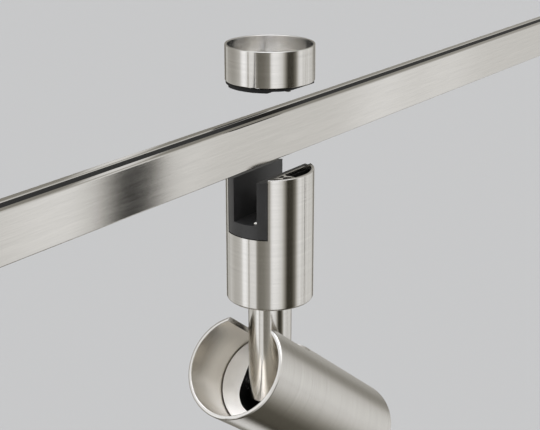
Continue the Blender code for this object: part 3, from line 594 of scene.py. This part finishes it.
def make_cap():
    """Open cup with its pad and its three screws."""
    shell = lathe("detailed_cap_shell", [
        (CAP_RIM_R, CAP_TOP, 0.25), (CAP_R, CAP_TOP, 0.25), (CAP_R, CAP_BOTTOM, 0.4),
        (PAD_SCREW_HOLE_R, CAP_BOTTOM, 0.2), (PAD_SCREW_HOLE_R, CAP_FLOOR_TOP, 0.2),
        (CAP_RIM_R, CAP_FLOOR_TOP, 0.5)])
    carve(shell, *[bar("hole", SCREW_HOLE_R, (*at, 10.0), (*at, 24.0)) for _, at in twice(CAP_SCREW)])
    dress(shell, brushed, "cap", "brushed_nickel", "cap_shell")
    # painted light: the cup's inner wall takes the brighter copy of the nickel
    paint_faces(shell, cup_painted_light,
                lambda r, z: abs(r - CAP_RIM_R) < 0.6 and CAP_FLOOR_TOP < z < CAP_TOP - 0.2)

    corner = math.degrees(math.asin(PAD_HALF / PAD_R))
    outline = arc(PAD_R, -corner, corner, 60) + arc(PAD_R, 180 - corner, 180 + corner, 60)
    pad = prism("detailed_rail_grip_pad", outline, PAD_BOTTOM, CAP_BOTTOM - GAP)
    cutters = [bar("hole", PAD_SCREW_HOLE_R, (0, 0, 5), (0, 0, 20))]
    cutters += [bar("hole", SCREW_HOLE_R, (*at, 5.0), (*at, 24.0)) for _, at in twice(CAP_SCREW)]
    for sign in (1, -1):
        a, b = sorted((sign * BAR_HALF, sign * 25.0))
        cutters.append(prism("step", [(-REACH, a), (REACH, a), (REACH, b), (-REACH, b)],
                             5.0, SHOULDER_BOTTOM))
    carve(pad, *cutters)
    soften(pad, 0.15, 2)
    dress(pad, rubber, "cap", "black_rubber", "rail_grip_pad")

    for (_, at), name in zip(twice(CAP_SCREW), ("front", "back")):
        screw = threaded_screw("detailed_cap_screw_" + name, CAP_FLOOR_TOP + GAP, 2.8, 1.6, 1.7,
                               CAP_SCREW_TIP, Matrix.Translation(Vector((*at, 0)) * MM))
        dress(screw, zinc, "cap_screw_" + name, "screw_steel", "cap_screw_" + name)
    screw = threaded_screw("detailed_grip_pad_screw", CAP_FLOOR_TOP + GAP, 3.2, 1.3, 1.5, 13.5)
    dress(screw, zinc, "cap", "screw_steel", "grip_pad_screw")


# ---------------------------------------------------------------- connector

def pin_holes():
    return [bar("hole", PIN_HOLE_R, (*at, -56), (*at, -40)) for _, at in twice(PIN_AT)]


def make_connector():
    """Round shell with its slot, and the hollow jaws with a screw boss in each."""
    shell = lathe("detailed_connector_shell", [
        (0.0, CON_TOP), (CON_R, CON_TOP, 0.25), (CON_R, CON_BOTTOM, 1.1), (CAVITY_R, CON_BOTTOM, 0.1),
        (CAVITY_R, DECK_BOTTOM), (0.0, DECK_BOTTOM)], closed=False)
    cutters = [prism("slot", [(-REACH, -SLOT_HALF), (REACH, -SLOT_HALF), (REACH, SLOT_HALF),
                              (-REACH, SLOT_HALF)], SLOT_FLOOR, 0.0)]
    pocket_floor = CON_TOP - POCKET_DEPTH
    bosses = [(sign, (-at[0], -at[1])) for sign, at in twice(CAP_SCREW)]
    for sign, at in bosses:
        outline = arc(CAVITY_R, sign * JAW_START, sign * (180 - JAW_START), 96)
        cutters.append(prism("recess", outline, CON_TOP - BOSS_DROP, 0.0))
        pocket = prism("pocket", outline, pocket_floor, -1.0)
        carve(pocket, bar("boss", BOSS_R, (*at, THREAD_BOTTOM), (*at, 5)))
        cutters.append(pocket)
        cutters.append(bar("thread", SCREW_HOLE_R, (*at, THREAD_BOTTOM), (*at, 0)))
    carve(shell, *cutters, *pin_holes())
    soften(shell, 0.16, 2, 50.0)
    dress(shell, brushed, "connector", "brushed_nickel", "connector_shell")

    # painted shade: a near-black sheet in each jaw's pocket, below the bosses' tops, darkens the pocket
    for (sign, at), name in zip(bosses, ("back", "front")):
        outline = arc(CAVITY_R - 0.05, sign * (JAW_START + 0.4), sign * (180 - JAW_START - 0.4), 96)
        pocket_shade = prism("jaw_pocket_painted_shade_" + name, outline, pocket_floor + 0.05, CON_TOP - POCKET_SHADE_DROP)
        middle = arc(CAVITY_R - 0.3, sign * (JAW_START + 1.8), sign * (178.2 - JAW_START), 96)
        carve(pocket_shade, prism("well", middle, pocket_floor + 0.3, 0.0),
              bar("boss", BOSS_R + 0.05, (*at, THREAD_BOTTOM), (*at, 5)))
        dress(pocket_shade, deep_black_and_painted_shade, "connector", "black_plastic")


def make_slot_liner():
    top = CON_TOP - LINER_DROP
    outer, inner, low = SLOT_HALF - GAP, CHANNEL_HALF, SLOT_FLOOR + GAP
    outline = [(-outer, low), (outer, low), (outer, top), (inner, top), (inner, CHANNEL_FLOOR),
               (-inner, CHANNEL_FLOOR), (-inner, top), (-outer, top)]
    liner = prism("detailed_slot_liner", outline, -25.0, 25.0, plane="YZ")
    carve(liner, lathe("trim", [(0, 0), (LINER_R, 0), (LINER_R, -60), (0, -60)], closed=False),
          operation="INTERSECT")
    carve(liner, *pin_holes())
    soften(liner, 0.18, 2)
    dress(liner, black, "connector", "black_plastic", "slot_liner")


def make_contacts():
    """Two contact pins on their springs."""
    tip = CHANNEL_FLOOR + 1.0
    for (_, at), name in zip(twice(PIN_AT), ("front", "back")):
        pin = lathe("detailed_contact_pin_" + name, [
            (0.0, tip), (PIN_R, tip, 0.9), (PIN_R, PIN_COLLAR_TOP), (PIN_COLLAR_R, PIN_COLLAR_TOP, 0.15),
            (PIN_COLLAR_R, PIN_BOTTOM, 0.15), (0.0, PIN_BOTTOM)],
            SMALL, Matrix.Translation(Vector((*at, 0)) * MM), closed=False)
        dress(pin, plating, "contact_" + name, "contact_brass", "contact_pin_" + name)

        # the spring stands in the block
        node = frame["nodes"]["contact_spring_" + name]
        coil = link("detailed_contact_spring_" + name, node.data.copy(), node.matrix_world.copy())
        dress(coil, zinc, "connector", "screw_steel", "contact_spring_" + name, angle=60.0)
        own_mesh(coil)


def make_swivel():
    """Threaded base ring with two spanner holes, and the bush that the stem turns in."""
    base = lathe("detailed_connector_base", [
        (BASE_BORE, BASE_TOP, 0.15), (BASE_R, BASE_TOP, 0.2), (BASE_R, BASE_BOTTOM, 0.5),
        (BASE_BORE, BASE_BOTTOM, 0.35)])
    carve(base, *[bar("spanner", SPANNER_R, (*at, -85), (*at, -80.4)) for _, at in twice((0, SPANNER_AT))])
    dress(base, brushed, "connector", "brushed_nickel", "connector_base")
    bush = lathe("detailed_swivel_bush", [
        (BUSH_FLANGE_R, BUSH_TOP, 0.1), (BUSH_FLANGE_R, BUSH_FLANGE_BOTTOM, 0.1),
        (BUSH_R, BUSH_FLANGE_BOTTOM), (BUSH_R, BASE_BOTTOM, 0.2), (BUSH_BORE, BASE_BOTTOM, 0.2),
        (BUSH_BORE, BUSH_TOP, 0.2)], MIDDLE)
    dress(bush, ivory, "connector", "ivory_plastic", "swivel_bush")


# ---------------------------------------------------------------- stem

def make_stem():
    """Tube, closed at the pivot, with a grommet round the leads at its top."""
    top = stem_high.z / MM
    stem = lathe("detailed_stem_tube", [
        (STEM_BORE, top, 0.2), (STEM_R, top, 0.4), (STEM_R, STEM_BOTTOM, 0.45), (0.0, STEM_BOTTOM),
        (0.0, STEM_BORE_END), (STEM_BORE, STEM_BORE_END)])
    carve(stem, bar("bore", PIVOT_BORE_R, (0, -12, pivot.z), (0, 12, pivot.z)),
          bar("exit", LEAD_EXIT_R, (0, 0, LEAD_EXIT_Z), (12, 0, LEAD_EXIT_Z)))
    soften(stem, 0.15, 2, 50.0)
    dress(stem, brushed, "stem", "brushed_nickel", "stem_tube")
    crown, foot = top + GROMMET_CROWN, top - GROMMET_DEPTH
    grommet = lathe("detailed_stem_grommet", [
        (0.0, crown), (GROMMET_R, crown, 0.6), (GROMMET_R, top + GAP, 0.1), (GROMMET_NECK_R, top + GAP),
        (GROMMET_NECK_R, foot, 0.4), (0.0, foot)], MIDDLE, closed=False)
    carve(grommet, *[bar("hole", LEAD_HOLE_R, (*at, -80), (*at, -60)) for _, at in twice((0, LEAD_AT))])
    dress(grommet, rubber, "stem", "black_rubber", "stem_grommet")


# ---------------------------------------------------------------- head

def make_tube():
    tube = lathe("detailed_head_tube", [
        (TUBE_BORE, TUBE_FRONT, 0.4), (TUBE_R, TUBE_FRONT, 1.1), (TUBE_R, TUBE_REAR, 1.0),
        (TUBE_BORE, TUBE_REAR, 0.3)], FINE, HEAD)
    half, behind = TUBE_SLOT, TUBE_REAR - 10.0
    outline = [(y, z) for z, y in arc(half, -90, 90, 64)] + [(half, behind), (-half, behind)]
    carve(tube, prism("tube_slot", outline, -40.0, -5.0, HEAD, plane="YZ"))
    soften(tube, 0.14, 2, 50.0)
    dress(tube, tube_brushed, "head", "brushed_nickel", "head_tube")
    paint_faces(tube, bore_brushed, lambda r, z: r < TUBE_BORE + 0.1)


def make_pivot():
    """Housing with the stem's slot and a bore for the pin, and the pin."""
    housing = lathe("detailed_pivot_housing", [
        (0.0, HOUSING_FRONT), (HOUSING_R, HOUSING_FRONT, 0.2), (HOUSING_R, HOUSING_REAR, 0.5),
        (0.0, HOUSING_REAR)], FINE, HEAD, closed=False)
    half = HOUSING_SLOT
    outline = [(-u, v) for v, u in arc(half, 180, 360, 64, (0.0, HOUSING_SLOT_U))]
    outline += [(-REACH, half), (-REACH, -half)]
    carve(housing, prism("housing_slot", outline, HOUSING_REAR - 5, HOUSING_SLOT_END, HEAD),
          bar("bore", PIVOT_BORE_R, (0, -25, 0), (0, 25, 0), HEAD),
          bar("lead", HOUSING_LEAD_R, (0, 0, 5), (0, 0, 20), HEAD))
    soften(housing, 0.2, 2, 50.0)
    dress(housing, turned_aluminium, "head", "turned_aluminium", "pivot_housing")
    # painted shade: the slot's walls and floor are painted near-black
    paint_faces(housing, deep_black_and_painted_shade,
                lambda r, z: r < HOUSING_R - 0.8 and HOUSING_REAR + 0.4 < z < HOUSING_FRONT - 1.0)

    end = PIVOT_PIN_HALF
    pin = lathe("detailed_pivot_pin", [
        (0.0, -end), (PIVOT_PIN_R, -end, 0.4), (PIVOT_PIN_R, end, 0.4), (0.0, end)],
        SMALL, HEAD @ Matrix.Rotation(math.pi / 2, 4, "X"), closed=False)
    dress(pin, zinc, "head", "screw_steel", "pivot_pin")


def make_optics():
    """Reflector, lens, gasket and the ring that holds them, from the rear to the front."""
    outer, inner = [], []
    steps = 24
    for i in range(steps + 1):
        t = i / steps
        widening = math.sin(t * math.pi / 2) ** 0.9
        radius = REFLECTOR_THROAT_R + (REFLECTOR_MOUTH_R - REFLECTOR_THROAT_R) * widening
        height = REFLECTOR_START + (REFLECTOR_MOUTH - REFLECTOR_START) * t
        outer.append((radius + REFLECTOR_WALL, height))
        inner.append((radius, height))
    rim = REFLECTOR_MOUTH + 1.0
    cup = lathe("detailed_reflector", [
        (REFLECTOR_RIM_R, rim, 0.2), (REFLECTOR_RIM_R, REFLECTOR_MOUTH, 0.2), *outer[::-1], *inner,
        (REFLECTOR_MOUTH_R, rim)], MIDDLE, HEAD)
    dress(cup, mirror, "head", "reflector_mirror", "reflector")

    dome = [(LENS_R * math.cos(math.radians(a)),
             LENS_REAR + LENS_EDGE + LENS_CROWN * math.sin(math.radians(a))) for a in range(80, -1, -10)]
    lens = lathe("detailed_lens", [
        (0.0, LENS_REAR + LENS_EDGE + LENS_CROWN), *dome, (LENS_R, LENS_REAR, 0.3), (0.0, LENS_REAR)],
        MIDDLE, HEAD, closed=False)
    dress(lens, glass, "head", "lens_glass", "lens")

    rear = LENS_REAR + 2.1
    front = rear + 1.0
    gasket = lathe("detailed_lens_gasket", [
        (20.9, front, 0.3), (20.9, rear, 0.3), (19.2, rear, 0.3), (19.2, front, 0.3)], MIDDLE, HEAD)
    dress(gasket, rubber, "head", "black_rubber", "lens_gasket")
    rear += 1.3
    ring = lathe("detailed_lens_ring", [
        (18.5, rear + 2.1, 0.2), (20.4, rear + 2.6, 0.3), (21.1, rear + 2.2, 0.2),
        (21.1, rear, 0.2), (18.3, rear, 0.2)], FINE, HEAD)
    dress(ring, brushed, "head", "brushed_nickel", "lens_ring")


# ---------------------------------------------------------------- pieces kept from the frame

def paint_kept_nodes():
    finishes = {
        "contact_block": ivory, "thrust_washer": zinc, "stem_nut": zinc, "heat_sink": sink_metal,
        "led_board": board_paint, "led_emitter": phosphor, "led_holder": black,
        "stem_lead_live": brown_sleeve, "stem_lead_neutral": blue_sleeve,
        "head_lead_live": brown_sleeve, "head_lead_neutral": blue_sleeve,
    }
    for pair in ("contact_block_screw_front contact_block_screw_back", "sink_screw_left sink_screw_right",
                 "holder_screw_left holder_screw_right", "pivot_washer_front pivot_washer_back"):
        finishes.update(dict.fromkeys(pair.split(), zinc))
    for name, material in finishes.items():
        node = frame["nodes"][name]
        node.data.materials.clear()
        node.data.materials.append(material)
        node.data.shade_smooth()
        node.data.set_sharp_from_angle(angle=math.radians(35))


# ---------------------------------------------------------------- stage, light and camera

def make_floor():
    form = bmesh.new()
    bmesh.ops.create_grid(form, x_segments=1, y_segments=1, size=FLOOR_HALF)
    floor = from_form("floor", form)
    floor.location.z = FLOOR_HEIGHT
    material, _, shader = new_material("pale_floor")
    shader.inputs["Base Color"].default_value = (0.452, 0.451, 0.446, 1.0)
    shader.inputs["Roughness"].default_value = 0.9
    shader.inputs["Specular IOR Level"].default_value = 0.1
    floor.data.materials.append(material)
    floor.visible_glossy = False


# The studio round the object, as brightness by direction. Azimuths are in degrees from the
# camera's side, positive to its right; heights are in degrees above the horizon.
LOW_LEFT = [
    (-180, 0.50), (-168, 0.45), (-163, 0.15), (-152, 0.15), (-146, 0.60), (-133, 0.58), (-127, 0.74),
    (-105, 0.58), (-90, 0.62), (-80, 0.75), (-75, 1.15), (-68, 1.20), (-60, 0.97), (-57, 0.35),
    (-54, 0.92), (-38, 0.98), (-34, 0.35), (-29, 0.24), (-15, 0.28), (-2, 0.42), (0, 0.50),
]
LOW_RIGHT = [
    (0, 0.50), (3, 0.92), (9, 1.10), (20, 1.03), (31, 0.80), (40, 0.30), (46, 0.04), (60, 0.05),
    (69, 0.22), (78, 0.82), (85, 1.00), (95, 0.76), (99.4, 0.97), (101, 0.72), (105, 0.88),
    (106.5, 0.75), (112, 0.76), (113.7, 0.97), (115.2, 0.80), (116.6, 0.92), (118, 0.76), (130, 0.80),
    (146, 0.72), (152, 0.22), (163, 0.22), (168, 0.45), (180, 0.50),
]
LEVEL_LEFT = [
    (-180, 0.30), (-163, 0.20), (-152, 0.15), (-146, 0.60), (-134, 0.55), (-129, 0.35), (-111, 0.31),
    (-98, 0.38), (-83, 0.58), (-76, 1.06), (-68, 1.20), (-60, 0.97), (-57, 0.35), (-54, 0.92),
    (-43, 0.90), (-40, 0.68), (-34, 0.18), (-29, 0.10), (-15, 0.12), (-2, 0.22), (0, 0.40),
]
LEVEL_RIGHT = [
    (0, 0.40), (3, 0.90), (9, 1.10), (20, 1.03), (31, 0.80), (40, 0.30), (46, 0.04), (60, 0.05),
    (69, 0.22), (78, 0.82), (85, 1.00), (95, 0.76), (99.4, 0.97), (101, 0.72), (105, 0.88),
    (106.5, 0.75), (112, 0.76), (113.7, 0.97), (115.2, 0.80), (116.6, 0.92), (118, 0.76), (127, 0.70),
    (136, 0.58), (141, 0.26), (152, 0.28), (158, 0.45), (170, 0.48), (180, 0.30),
]
UPPER_LEFT = [
    (-180, 0.28), (-175, 0.28), (-174, 0.80), (-172, 0.80), (-171, 0.28), (-140, 0.35), (-95, 0.70),
    (-80, 1.10), (-40, 1.10), (-10, 0.80), (0, 0.80),
]
UPPER_RIGHT = [(0, 0.80), (60, 0.80), (110, 0.70), (160, 0.45), (180, 0.28)]
# low belt's brightness by height
BELOW = [(-90, 0.10), (-60, 0.13), (-53, 0.23), (-45, 0.41), (-37, 0.66), (-29, 0.90), (-22, 1.0)]
HIGH_LEVEL, ZENITH_LEVEL, UNDER_FAR_LEVEL = 1.0, 2.6, 0.80
# low, high and soft edge of the dark flag, in azimuth and in height
FLAG_AZIMUTH, FLAG_HEIGHT = (101.7, 103.2, 0.9), (-21.5, -15.5, 2.0)
WARMTH = (1.0, 1.035, 1.13)           # powers of the brightness for red, green and blue


def window(nodes, value, low, high, soft):
    """1 between low and high, falling to 0 over soft either side."""
    rise = nodes.smooth_step(value, low - soft, low)
    fall = nodes.smooth_step(value, high, high + soft)
    return nodes.math("MULTIPLY", rise, nodes.math("SUBTRACT", 1.0, fall))


def make_world():
    """Light by direction: a low, a level and an upper belt, and a bright zenith."""
    world = bpy.data.worlds.new("studio")
    bpy.context.scene.world = world
    world.use_nodes = True
    nodes = Nodes(world.node_tree)
    back = world.node_tree.nodes["Background"]
    coords = nodes.add("ShaderNodeTexCoord")
    towards = CAMERA_HEADING + math.pi
    parts = []
    for axis in ((math.cos(towards), math.sin(towards), 0.0),
                 (-math.sin(towards), math.cos(towards), 0.0), (0.0, 0.0, 1.0)):
        dot = nodes.add("ShaderNodeVectorMath", operation="DOT_PRODUCT")
        nodes.link(coords.outputs["Generated"], dot.inputs[0])
        dot.inputs[1].default_value = axis
        parts.append(dot.outputs["Value"])
    near, right, up = parts
    azimuth = nodes.math("MULTIPLY", nodes.math("ARCTAN2", right, near), math.degrees(1.0))
    height = nodes.math("MULTIPLY", nodes.math("ARCSINE", up), math.degrees(1.0))
    on_right = nodes.math("GREATER_THAN", azimuth, 0.0)
    belts = []
    for left, other in ((LOW_LEFT, LOW_RIGHT), (LEVEL_LEFT, LEVEL_RIGHT), (UPPER_LEFT, UPPER_RIGHT)):
        belts.append(nodes.blend(nodes.graph(azimuth, left, -180.0, 0.0),
                                 nodes.graph(azimuth, other, 0.0, 180.0), on_right))
    low, level, upper = belts
    low = nodes.math("MULTIPLY", low, nodes.graph(height, BELOW, -90.0, 90.0))
    under_far = nodes.math("MULTIPLY", window(nodes, height, -62.0, -54.0, 9.0),
                           nodes.smooth_step(nodes.math("ABSOLUTE", azimuth), 155.0, 176.0))
    low = nodes.math("ADD", low, nodes.math("MULTIPLY", under_far, UNDER_FAR_LEVEL))
    around = nodes.blend(low, level, nodes.smooth_step(height, -20.0, -8.0))
    # a narrow dark flag, which the rail's face mirrors
    flag = nodes.math("MULTIPLY", window(nodes, azimuth, *FLAG_AZIMUTH),
                      window(nodes, height, *FLAG_HEIGHT))
    around = nodes.math("MULTIPLY", around, nodes.math("SUBTRACT", 1.0, flag))
    around = nodes.blend(around, upper, nodes.smooth_step(height, 0.0, 10.0))
    around = nodes.blend(around, HIGH_LEVEL, nodes.smooth_step(height, 45.0, 60.0))
    around = nodes.blend(around, ZENITH_LEVEL, nodes.smooth_step(height, 60.0, 72.0))
    # dim directions are warmer, as a room's dark side is
    warm = nodes.add("ShaderNodeCombineColor")
    for socket, power in zip(warm.inputs, WARMTH):
        nodes.link(nodes.math("POWER", around, power), socket)
    nodes.link(warm.outputs[0], back.inputs["Color"])
    back.inputs["Strength"].default_value = 1.0


def make_lights():
    lamp = bpy.data.lights.new("overhead_light", "SUN")
    lamp.angle = math.radians(70.0)
    lamp.energy = 0.6
    softbox = bpy.data.objects.new("overhead_light", lamp)
    bpy.context.scene.collection.objects.link(softbox)


def make_camera():
    data = bpy.data.cameras.new("camera")
    data.lens = CAMERA_LENS
    data.sensor_width = 36.0
    data.clip_start, data.clip_end = 0.01, 50.0
    camera = bpy.data.objects.new("camera", data)
    bpy.context.scene.collection.objects.link(camera)
    level = math.cos(CAMERA_PITCH)
    forward = Vector((math.cos(CAMERA_HEADING) * level, math.sin(CAMERA_HEADING) * level,
                      -math.sin(CAMERA_PITCH)))
    camera.rotation_mode = "QUATERNION"
    camera.rotation_quaternion = forward.to_track_quat("-Z", "Y")
    camera.location = CAMERA_PLACE
    bpy.context.scene.camera = camera


make_rail()
make_cap()
make_connector()
make_slot_liner()
make_contacts()
make_swivel()
make_stem()
make_tube()
make_pivot()
make_optics()
paint_kept_nodes()
make_floor()
make_world()
make_lights()
make_camera()
bpy.context.scene.view_settings.view_transform = "Standard"
